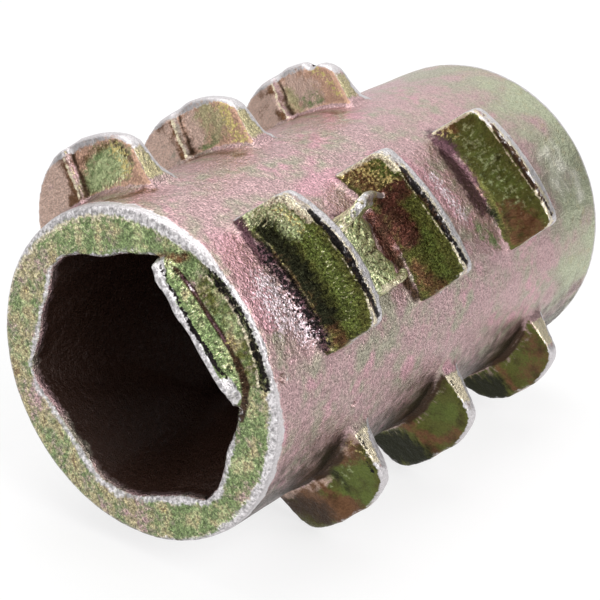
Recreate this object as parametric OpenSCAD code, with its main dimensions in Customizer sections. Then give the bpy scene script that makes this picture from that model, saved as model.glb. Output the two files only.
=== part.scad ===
// Hexagon-drive threaded insert for wood, die cast in one piece between two mould halves.
// It lies on two of its four rows of fins. +X runs from its drive end to its far end.

/* [Barrel] */
// Length from the drive face to the far end
barrel_len = 15.6; // [13:0.1:25]
// Diameter of the barrel at the drive end
drive_d = 8.5; // [8:0.1:9.4]
// Diameter of the barrel at the far end
far_d = 8.76; // [8:0.02:9.4]
// Radius of the rounded rim at the drive end
drive_rim_r = 0.12; // [0.05:0.01:0.3]
// Radius of the rounded rim at the far end
far_rim_r = 0.3; // [0.1:0.05:0.6]

/* [Drive socket] */
// Width of the hexagon across its flats
hex_af = 6; // [5.4:0.1:6.4]
// Width of the hexagon across its rounded corners
hex_corner_d = 6.64; // [6.4:0.02:7.2]
// Depth of the hexagon
hex_depth = 5.5; // [4:0.1:8]
// Turn of a flat of the hexagon from the middle of the front fins
hex_turn = -5; // [-30:1:30]

/* [Thread] */
// Core diameter of the internal thread
core_d = 5; // [3:0.05:5.4]
// Diameter of the countersink at the far end of the thread
mouth_d = 6.2; // [5.7:0.1:7]
// Depth of the countersink
mouth_depth = 0.6; // [0.2:0.1:1]

/* [Fins] */
// Diameter over the crests
crest_d = 11.24; // [10.6:0.02:12.4]
// Width of the worn crest along the barrel
crest_w = 0.42; // [0.2:0.02:0.8]
// Slope of the flank towards the drive end
near_flank = 6; // [0:1:14]
// Slope of the flank towards the far end
far_flank = 10; // [0:1:14]
// Distance from the drive face to the first front fin
first_fin = 2.25; // [2:0.05:4]
// Distance between two fins of a row
fin_pitch = 4.2; // [3.8:0.05:5]
// Shift of the second fin of each row towards the drive end
second_shift = 0.2; // [0:0.05:0.4]

/* [Front and back fins] */
// Half width of a fin where it meets the barrel
middle_foot = 1.9; // [1.6:0.05:2.3]
// Half width of a fin at its crest
middle_crest = 1.85; // [1.4:0.05:2]
// Radius of the worn corners of the crest
middle_corner_r = 0.3; // [0.1:0.05:0.8]
// Rise of the middle of the crest above its radius
middle_crown = 0.03; // [0.01:0.01:0.3]
// Size of the hollow blend at the foot of the flank towards the drive end
middle_near_root = 0.55; // [0.2:0.05:0.8]
// Size of the hollow blend at the foot of the flank towards the far end
middle_far_root = 0.3; // [0.2:0.05:0.6]
// Position of the back fins, counted from the front ones
back_lead = 2.5; // [0:0.05:3]

/* [Side fins] */
// Half width of a fin where it meets the barrel
side_foot = 1.85; // [1.6:0.05:2.3]
// Half width of a fin at its crest
side_crest = 1.75; // [1.4:0.05:2]
// Radius of the worn corners of the crest
side_corner_r = 0.6; // [0.1:0.05:0.8]
// Rise of the middle of the crest of a right fin above its radius
right_crown = 0.04; // [0.01:0.01:0.3]
// Extra radius of the worn back corner of the last right fin
last_wear = 0.7; // [0:0.05:0.8]
// Lower crest of the last right fin
last_drop = 0.12; // [0:0.02:0.3]
// Size of the hollow blends at the foot of both flanks
side_root = 0.25; // [0.1:0.05:0.5]
// Lower crest of the left fins
left_drop = 0.12; // [0:0.02:0.3]
// Rise of the middle of the crest of a left fin above its radius
left_crown = 0.2; // [0.01:0.01:0.3]
// Extra radius of the worn back corners of the left fins
left_wear = 0.4; // [0:0.05:0.8]
// The same for the first left fin
first_wear = 0.9; // [0:0.05:1]
// Position of the left fins, counted from the front ones
left_lead = -0.6; // [-1.2:0.05:0]
// Position of the right fins, counted from the front ones
right_lead = 1.6; // [0:0.05:2]
// Extra spacing of the right fins
right_spread = 0.18; // [0:0.02:0.4]
// Lean of the side fins away from the drive end
side_lean = 6; // [0:1:8]

/* [Mould] */
// Distance of the parting plane from the axis, towards the front fins
parting_offset = 0.5; // [0:0.05:0.8]
// Draft of the side fins on each side of the parting plane
parting_draft = 3; // [0:0.5:5]
// Shift of the back half of the side fins towards the drive end
mould_step = 0.2; // [0:0.02:0.3]

/* [Broken gate between the first two front fins] */
// Height of the stub above the barrel
gate_h = 0.75; // [0.4:0.05:1]
// Radius of the stub
gate_r = 1.1; // [0.8:0.05:1.4]
// Distance of the stub from the middle of the fins, towards the right fins
gate_y = 0.2; // [-0.4:0.05:0.4]
// Slope of the broken top towards the far end
gate_slope = 14; // [0:1:20]
// Height of the torn lip above the stub
gate_lip_h = 0.2; // [0.1:0.05:0.4]
// Thickness of the torn lip
gate_lip_w = 0.25; // [0.15:0.05:0.4]

/* [Torn flash on the drive face] */
// Reach of the flash over the hexagon
flash_reach = 0.28; // [0.1:0.02:0.5]
// Thickness of the flash
flash_t = 0.3; // [0.2:0.05:0.6]
// Height of the torn lip above the drive face
flash_lip_h = 0.42; // [0.15:0.01:0.6]
// Thickness of the torn lip
flash_lip_w = 0.18; // [0.12:0.01:0.3]
// Width of the slope behind the lip
flash_slope_w = 0.3; // [0.2:0.02:0.4]
// Width of the crescent that slopes down to the rim
crescent_w = 0.7; // [0.4:0.05:0.8]
// Width of the rim that is left outside the crescent
crescent_rim = 0.28; // [0.2:0.01:0.4]
// Slope of the crescent
crescent_slope = 17; // [5:1:25]

/* [Hidden] */
$fn = 96;
eps = 0.01;
overlap = 0.6;
rows = 3;
arc_steps = 4;
crest_steps = 6;

drive_r = drive_d / 2;
far_r = far_d / 2;
crest_r = crest_d / 2;
core_r = core_d / 2;
mouth_r = mouth_d / 2;
hex_flat = hex_af / 2;
blade_top = crest_r + overlap;
blade_foot = core_r + overlap;
helix_tilt = atan(fin_pitch / (PI * (crest_r + drive_r)));

// Distance of a crest from the plane of the axis, at a place across the fin
function crest_x(radius, y) = sqrt(pow(radius, 2) - pow(y, 2));

// Quarter circle for a rounded rim, from one angle to the next
function rim(r, z, radius, from) =
    [for (i = [0:arc_steps]) let (a = from + 90 * i / arc_steps)
        [r + radius * cos(a), z + radius * sin(a)]];

// The insert lies on one worn corner of its back fins and one of its right fins. Seen along
// the barrel with the front fins at the right, these are the centres of the two corners.
back_corner_y = middle_crest - middle_corner_r;
back_corner_x = middle_corner_r - crest_x(crest_r, back_corner_y);
right_corner_x = parting_offset + side_corner_r - side_crest;
right_corner_y = crest_x(crest_r, right_corner_x) - side_corner_r;
corner_dx = back_corner_x - right_corner_x;
corner_dy = back_corner_y - right_corner_y;
lie_turn = atan2(corner_dy, corner_dx)
    - acos((side_corner_r - middle_corner_r) / norm([corner_dx, corner_dy]));
lie_h = back_corner_x * cos(lie_turn) + back_corner_y * sin(lie_turn) + middle_corner_r;

// Solid barrel, revolved from its half section
module barrel() {
    rotate_extrude()
        polygon(concat(
            [[0, 0]],
            rim(drive_r - drive_rim_r, drive_rim_r, drive_rim_r, -90),
            rim(far_r - far_rim_r, barrel_len - far_rim_r, far_rim_r, 0),
            [[0, barrel_len]]));
}

// Hexagon with rounded corners, open at the drive face
module drive_socket() {
    translate([0, 0, -eps])
        intersection() {
            rotate([0, 0, hex_turn + 30])
                cylinder(r = hex_flat / cos(30), h = hex_depth + eps, $fn = 6);
            cylinder(d = hex_corner_d, h = hex_depth + eps);
        }
}

// Core of the internal thread, countersunk at the far end
module thread_core() {
    translate([0, 0, hex_depth - eps])
        cylinder(r = core_r, h = barrel_len - hex_depth + 2 * eps);
    translate([0, 0, barrel_len - mouth_depth])
        cylinder(r1 = core_r, r2 = mouth_r + eps, h = mouth_depth + eps);
}

// Wedge with the section of a blade, tilted to the helix
module blade(tilt, lean) {
    near_slope = tan(near_flank + lean);
    far_slope = tan(far_flank - lean);
    foot = crest_r - blade_foot;
    tip = blade_top - crest_r;
    rotate([90 + tilt, 0, 0])
        linear_extrude(height = 4 * middle_foot, center = true)
            polygon([
                [blade_foot, -crest_w / 2 - foot * near_slope],
                [blade_top, -crest_w / 2 + tip * near_slope],
                [blade_top, crest_w / 2 - tip * far_slope],
                [blade_foot, crest_w / 2 + foot * far_slope]]);
}

// Outline of one half of a fin, seen along the barrel: an arc over its crest that runs into
// the worn corner. side is -1 or 1, and y counts from the middle of the fin, which is offset
// from the axis
module half_outline(side, foot, top, corner_r, top_r, crown, offset) {
    corner_y = top - corner_r;
    corner_x = crest_x(top_r, offset + side * corner_y) - corner_r;
    foot_x = sqrt(pow(drive_r, 2) - pow(offset + side * foot, 2));
    drop = top_r + crown - corner_x;
    arc_r = (pow(corner_y, 2) + pow(drop, 2) - pow(corner_r, 2)) / (2 * (drop - corner_r));
    arc_x = top_r + crown - arc_r;
    arc_end = asin(corner_y / (arc_r - corner_r));
    linear_extrude(height = 2 * fin_pitch, center = true)
        polygon(concat(
            [[0, 0],
             [blade_foot, side * (foot - overlap)],
             [foot_x, side * foot]],
            [for (i = [0:arc_steps]) let (a = 90 - (90 - arc_end) * i / arc_steps)
                [corner_x + corner_r * cos(a), side * (corner_y + corner_r * sin(a))]],
            [for (i = [1:crest_steps]) let (a = arc_end * (1 - i / crest_steps))
                [arc_x + arc_r * cos(a), side * arc_r * sin(a)]]));
}

// One half of a fin
module half_fin(side, foot, top, corner_r, top_r, crown, offset, draft, lean) {
    intersection() {
        blade(helix_tilt - draft, lean);
        blade(helix_tilt + draft, lean);
        half_outline(side, foot, top, corner_r, top_r, crown, offset);
    }
}

// Hollow blends between the flanks and the barrel, revolved along the foot of a fin
module root_blends(near_w, far_w, half_width, offset, lean) {
    rise = crest_r - drive_r;
    near_z = -crest_w / 2 - rise * tan(near_flank + lean);
    far_z = crest_w / 2 + rise * tan(far_flank - lean);
    intersection() {
        rotate([helix_tilt, 0, 0])
            rotate_extrude()
                polygon([
                    [drive_r - overlap, near_z - near_w],
                    [drive_r, near_z - near_w],
                    [drive_r + 0.15 * near_w, near_z - 0.5 * near_w],
                    [drive_r + 0.5 * near_w, near_z - 0.1 * near_w],
                    [drive_r + near_w, near_z + near_w * tan(near_flank + lean)],
                    [drive_r + far_w, far_z - far_w * tan(far_flank - lean)],
                    [drive_r + 0.3 * far_w, far_z + 0.3 * far_w],
                    [drive_r, far_z + far_w],
                    [drive_r - overlap, far_z + far_w]]);
        translate([0, offset - half_width, -fin_pitch])
            cube([blade_top, 2 * half_width, 2 * fin_pitch]);
    }
}

// Fin inside one half of the mould
module middle_fin() {
    for (side = [-1, 1])
        half_fin(side, middle_foot, middle_crest, middle_corner_r, crest_r, middle_crown, 0, 0, 0);
    root_blends(middle_near_root, middle_far_root, middle_foot, 0, 0);
}

// Fin across the parting plane; front is the side of the front half of the mould
module side_fin(front, top_r, crown, wear) {
    offset = front * parting_offset;
    back_corner_r = side_corner_r + wear;
    translate([0, offset, 0]) {
        half_fin(front, side_foot, side_crest, side_corner_r, top_r, crown, offset,
            parting_draft, side_lean);
        translate([0, 0, -mould_step])
            half_fin(-front, side_foot, side_crest, back_corner_r, top_r, crown, offset,
                parting_draft, side_lean);
    }
    root_blends(side_root, side_root, side_foot, offset, side_lean);
}

module fins() {
    for (row = [0:rows - 1]) {
        z = first_fin + row * fin_pitch - (row == 1 ? second_shift : 0);
        last = row == rows - 1;
        translate([0, 0, z])
            middle_fin();
        translate([0, 0, z + back_lead])
            rotate([0, 0, 180])
                middle_fin();
        translate([0, 0, z + left_lead])
            rotate([0, 0, -90])
                side_fin(1, crest_r - left_drop, left_crown, row == 0 ? first_wear : left_wear);
        translate([0, 0, z + right_lead + row * right_spread])
            rotate([0, 0, 90])
                side_fin(-1, crest_r - (last ? last_drop : 0), right_crown, last ? last_wear : 0);
    }
}

// Stub where the gate broke away, with a sloping top, a torn lip and a hollow
module fin_gate() {
    gate_z = first_fin + (fin_pitch - second_shift) / 2;
    translate([0, gate_y, gate_z])
        difference() {
            translate([blade_foot, 0, 0])
                rotate([0, 90, 0])
                    cylinder(r = gate_r, h = drive_r + gate_h + gate_lip_h - blade_foot);
            translate([drive_r + gate_h, gate_lip_w - gate_r, -gate_r])
                rotate([0, -gate_slope, 0])
                    translate([0, 0, -gate_r])
                        cube([gate_r, 3 * gate_r, 5 * gate_r]);
            translate([drive_r + 0.6 * gate_h, 0, gate_r])
                sphere(r = 0.5 * gate_r);
        }
}

// Flash that closes a strip of the hexagon, with a torn lip along its edge
module flash() {
    edge_x = hex_flat - flash_reach;
    foot_x = edge_x + flash_lip_w + flash_slope_w;
    half_len = sqrt(pow(hex_corner_d / 2, 2) - pow(edge_x, 2));
    rotate([90, 0, 0])
        linear_extrude(height = 2 * half_len, center = true)
            polygon([
                [edge_x, -flash_lip_h],
                [edge_x + flash_lip_w, -flash_lip_h],
                [edge_x + flash_lip_w, -0.6 * flash_lip_h],
                [foot_x, 0],
                [foot_x, 3 * flash_t],
                [hex_flat, 3 * flash_t],
                [edge_x, flash_t]]);
}

// Shallow crescent between the flash and the rim
module crescent() {
    outer_r = drive_r - crescent_rim;
    intersection() {
        translate([outer_r - crescent_w, -drive_r, 0])
            rotate([0, -crescent_slope, 0])
                translate([0, 0, -1])
                    cube([drive_r, drive_d, 1]);
        cylinder(r = outer_r, h = 1, center = true);
    }
}

module insert_body() {
    color([0.74, 0.66, 0.6])
        translate([(flash_lip_h - barrel_len) / 2, 0, lie_h])
            rotate([0, 90, 0])
                rotate([0, 0, -lie_turn])
                    union() {
                        difference() {
                            union() {
                                barrel();
                                fins();
                                fin_gate();
                            }
                            drive_socket();
                            thread_core();
                            crescent();
                        }
                        flash();
                    }
}

insert_body();
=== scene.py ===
import math

import bmesh
import bpy
import numpy as np
from mathutils import Matrix, Vector


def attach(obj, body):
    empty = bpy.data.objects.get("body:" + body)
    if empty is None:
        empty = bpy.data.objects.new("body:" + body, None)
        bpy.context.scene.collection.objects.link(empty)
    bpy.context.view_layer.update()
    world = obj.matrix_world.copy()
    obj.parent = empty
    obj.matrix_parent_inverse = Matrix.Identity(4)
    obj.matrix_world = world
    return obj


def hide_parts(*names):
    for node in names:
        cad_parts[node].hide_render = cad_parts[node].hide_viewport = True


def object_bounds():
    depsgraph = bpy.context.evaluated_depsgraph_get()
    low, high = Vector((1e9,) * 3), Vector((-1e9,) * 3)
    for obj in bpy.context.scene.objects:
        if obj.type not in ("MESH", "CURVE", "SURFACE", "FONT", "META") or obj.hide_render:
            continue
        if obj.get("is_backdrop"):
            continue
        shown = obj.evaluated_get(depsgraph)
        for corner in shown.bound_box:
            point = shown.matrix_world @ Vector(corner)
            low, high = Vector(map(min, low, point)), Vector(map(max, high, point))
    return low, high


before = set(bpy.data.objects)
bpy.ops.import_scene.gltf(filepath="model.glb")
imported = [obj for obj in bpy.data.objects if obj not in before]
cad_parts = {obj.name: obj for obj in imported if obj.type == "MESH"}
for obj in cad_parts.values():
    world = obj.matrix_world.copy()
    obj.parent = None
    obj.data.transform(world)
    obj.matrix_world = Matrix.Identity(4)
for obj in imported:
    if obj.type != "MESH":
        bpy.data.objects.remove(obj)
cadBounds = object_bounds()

mm = 0.001

# How the insert lies on the table. Its own axes are u and v across the barrel and s along it, in
# millimetres: s is 0 on the drive face, u points at the front fins and v at the lower row in view.
lie = {
    "turnDeg": 229.31,
    "axisHeight": 4.8016,
    "driveFace": -7.59,
}

turn = math.radians(lie["turnDeg"])
insertToTable = Matrix.Scale(mm, 4) @ Matrix((
    (0, 0, 1, lie["driveFace"]),
    (math.sin(turn), math.cos(turn), 0, 0),
    (-math.cos(turn), math.sin(turn), 0, lie["axisHeight"]),
    (0, 0, 0, 1),
))
tableToInsert = insertToTable.inverted()

body = {
    "voxel": 0.05,              # how fine the mesh is before it is sculpted
    "quickVoxel": 0.08,
    "triangles": 190000,
    "keepDetail": 0.002,        # how strongly thinning spares what isn't plain
    "length": 15.6,
    "endSoftness": 0.1,         # how gently the far end is held back to the length
    "driveRadius": 4.25,
    "farRadius": 4.38,
    "coreRadius": 2.5,
    "threadRoot": 2.92,
    "hexFlat": 3.0,
    "hexCorner": 3.32,
    "hexTurn": -5,
    "socketDepth": 5.5,
    "partingLine": 0.5,
    "roundingPasses": 5,
    "rimWaver": 0.035,          # how far the worn hexagon edge wanders
    "flankWrinkle": 0.012,
}

skin = {
    "Lump Size": 1.3,
    "Lump Depth": 0.030,
    "Peel Size": 0.30,
    "Peel Depth": 0.016,
    "Seed": 7,
}

thread = {
    "Pitch": 1.0,
    "Crest Radius": 2.5,
    "Root Radius": 3.0,
    "Crest Width": 0.14,
    "Root Width": 0.86,
    "Start": 5.75,
    "End": 15.15,
    "Run-out": 0.06,
    "Steps": 72,
}


def linkObject(name, mesh):
    made = bpy.data.objects.new(name, mesh)
    bpy.context.scene.collection.objects.link(made)
    return made


def applyModifiers(made):
    graph = bpy.context.evaluated_depsgraph_get()
    mesh = bpy.data.meshes.new_from_object(
        made.evaluated_get(graph), preserve_all_data_layers=True, depsgraph=graph)
    made.modifiers.clear()
    made.data = mesh
    return mesh


def readVectors(source, name, count, width=3):
    flat = np.empty(count * width, np.float32)
    source.foreach_get(name, flat)
    return flat.reshape(-1, width).astype(float)


def readMesh(mesh):
    count = len(mesh.vertices)
    points = readVectors(mesh.vertices, "co", count)
    normals = readVectors(mesh.vertex_normals, "vector", count)
    edges = np.empty(len(mesh.edges) * 2, np.int32)
    mesh.edges.foreach_get("vertices", edges)
    return points, normals, edges.reshape(-1, 2)


def writePoints(mesh, points):
    mesh.vertices.foreach_set("co", points.astype(np.float32).ravel())
    mesh.update()


def relaxed(values, edges, rounds, strength=0.5):
    # each round moves a value towards the mean of its neighbours
    flat = values.reshape(len(values), -1).copy()
    near, far = edges[:, 0], edges[:, 1]
    degree = np.maximum(np.bincount(edges.ravel(), minlength=len(flat)), 1)
    for step in range(rounds):
        for column in range(flat.shape[1]):
            total = (np.bincount(near, flat[far, column], len(flat))
                     + np.bincount(far, flat[near, column], len(flat)))
            flat[:, column] += strength * (total / degree - flat[:, column])
    return flat.reshape(values.shape)


def ramp(values, low, high):
    # 0 below low, 1 above high, and smooth between them
    share = np.clip((values - low) / (high - low), 0, 1)
    return share * share * (3 - 2 * share)


def waves(points, size, seed, count=28):
    # a smooth uneven field of unit spread, made of plane waves
    dice = np.random.default_rng(seed)
    aim = dice.normal(size=(count, 3))
    length = np.linalg.norm(aim, axis=1, keepdims=True)
    aim *= 2 * math.pi / size * dice.uniform(0.6, 1.5, (count, 1)) / length
    shift = dice.uniform(0, 2 * math.pi, count)
    return np.sin(points @ aim.T + shift).sum(1) * math.sqrt(2 / count)


def nearPath(points, path, width):
    # 1 on a line of points, falling to 0 at width from it
    path = np.array(path, float)
    if len(path) == 1:
        path = np.vstack([path, path + 1e-4])
    low, high = path.min(0) - width, path.max(0) + width
    inside = np.flatnonzero(((points > low) & (points < high)).all(1))
    share = np.zeros(len(points))
    if len(inside) == 0:
        return share
    spots = points[inside]
    best = np.full(len(spots), np.inf)
    for start, end in zip(path[:-1], path[1:]):
        along = end - start
        part = np.clip((spots - start) @ along / (along @ along), 0, 1)
        best = np.minimum(best, np.linalg.norm(spots - start - part[:, None] * along, axis=1))
    share[inside] = (1 - np.clip(best / width, 0, 1) ** 2) ** 2
    return share


def keepLength(mesh):
    # the far end stays within the barrel's length, whatever the skin and the thinning add
    points = readMesh(mesh)[0]
    over = np.maximum(points[:, 2] - body["length"] + body["endSoftness"], 0) / body["endSoftness"]
    points[:, 2] -= body["endSoftness"] * (over - 1 + np.exp(-over))
    writePoints(mesh, points)


def thinOut(made):
    # fewer triangles: first from the bore and the sides that carry little detail, then from all of it
    points, normals = readMesh(made.data)[:2]
    rho, s = np.hypot(points[:, 0], points[:, 1]), points[:, 2]
    inBore = ramp(3.8 - rho, 0, 0.3) * ramp(s, 0.5, 1.0)
    turnedAway = ramp(-normals @ np.array(flash["sight"]), -0.1, 0.2)
    plain = np.rint(np.maximum(inBore, turnedAway) * 10)
    group = made.vertex_groups.new(name="plain")
    for level in range(1, 11):
        group.add(np.flatnonzero(plain == level).tolist(), level / 10, "REPLACE")
    for groupName in ("plain", ""):
        made.data.calc_loop_triangles()
        thin = made.modifiers.new("thin", "DECIMATE")
        thin.vertex_group = groupName
        thin.vertex_group_factor = body["keepDetail"]
        thin.ratio = min(1.0, body["triangles"] / len(made.data.loop_triangles))
        applyModifiers(made)
    made.vertex_groups.clear()


def voxelRemesh(made):
    remesh = made.modifiers.new("remesh", "REMESH")
    remesh.mode = "VOXEL"
    remesh.voxel_size = body["voxel"]
    applyModifiers(made)


def castCopy():
    work = bmesh.new()
    work.from_mesh(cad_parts["insert_body"].data)
    bmesh.ops.remove_doubles(work, verts=work.verts, dist=1e-7)
    mesh = bpy.data.meshes.new("castBody")
    work.to_mesh(mesh)
    work.free()
    mesh.transform(tableToInsert)
    made = linkObject("castBody", mesh)
    voxelRemesh(made)
    return made


# Marks of casting and wear. Places are on the insert's own axes, in millimetres.

fins = {
    # row: (direction from the axis in degrees, places along the barrel, middle across)
    "front": (0, (2.25, 6.25, 10.65), 0.0),
    "lower": (90, (3.85, 8.03, 12.61), -0.5),
    "upper": (-90, (1.65, 5.65, 10.05), 0.5),
    "back": (180, (4.75, 8.75, 13.15), 0.0),
}

crest = {
    "radius": 5.62,
    "halfWidth": 0.21,
    "helix": 0.135,         # how far a fin runs along the barrel for its run across
    "bowOut": 0.10,         # the first front fin is bowed in its middle
    "bowAlong": 0.16,
    "bowReach": 1.75,
}

flash = {
    # the torn lip along one flat of the hexagon, and where it thins out at its lower end
    "sight": (0.659, 0.041, -0.751),
    # (v, u) of the inner side of its white edge
    "whiteEdge": ((-1.9, 2.97), (-1.4, 2.93), (-0.9, 2.89), (0, 2.87), (0.8, 2.88), (1, 2.90), (1.4, 2.94)),
    "lowerEnd": 1.95,
    "taper": 0.62,
    "thinned": 0.85,
    "swell": 0.05,
    "swellWaver": 0.05,
}

curl = {
    # the curled edge of the broken gate between the first two front fins
    "path": [(4.50, -0.42, 3.66), (4.86, -0.52, 3.68), (5.12, -0.68, 3.84), (5.22, -0.82, 4.20),
             (5.16, -0.92, 4.62), (5.00, -0.95, 5.05), (4.84, -0.90, 5.45), (4.72, -0.82, 5.80)],
    "radii": [0.10, 0.12, 0.14, 0.15, 0.14, 0.12, 0.10, 0.08],
}

gateBead = {
    # the torn bead at the lower end of the gate
    "path": [(4.46, 0.98, 5.36), (4.50, 1.10, 5.20), (4.62, 1.16, 4.95), (4.70, 1.20, 4.65),
             (4.74, 1.20, 4.30)],
    "radii": [0.13, 0.13, 0.09, 0.07, 0.05],
}

gateFan = {
    "middle": (4.9, 0.30, 3.45),
    "radius": 4.5,
    "near": 3.0,
    "far": 5.3,
    "reach": 1.5,
    "furrows": 25,
    "depth": 0.028,
}

sculptMarks = [
    # (width, lift along the normal, path)
    (0.14, -0.16, [(3.84, 1.81, 0.38)]),
    (0.13, -0.14, [(2.81, 3.2, 3.16)]),
    (0.3, -0.16, [(1.7, -5.45, 9.96), (1.7, -5.3, 10.4)]),
    (0.16, 0.05, [(4.42, -0.67, 1.66), (4.49, -0.28, 1.74), (4.45, 0.38, 1.79), (4.41, 0.97, 1.91)]),
]

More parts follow.
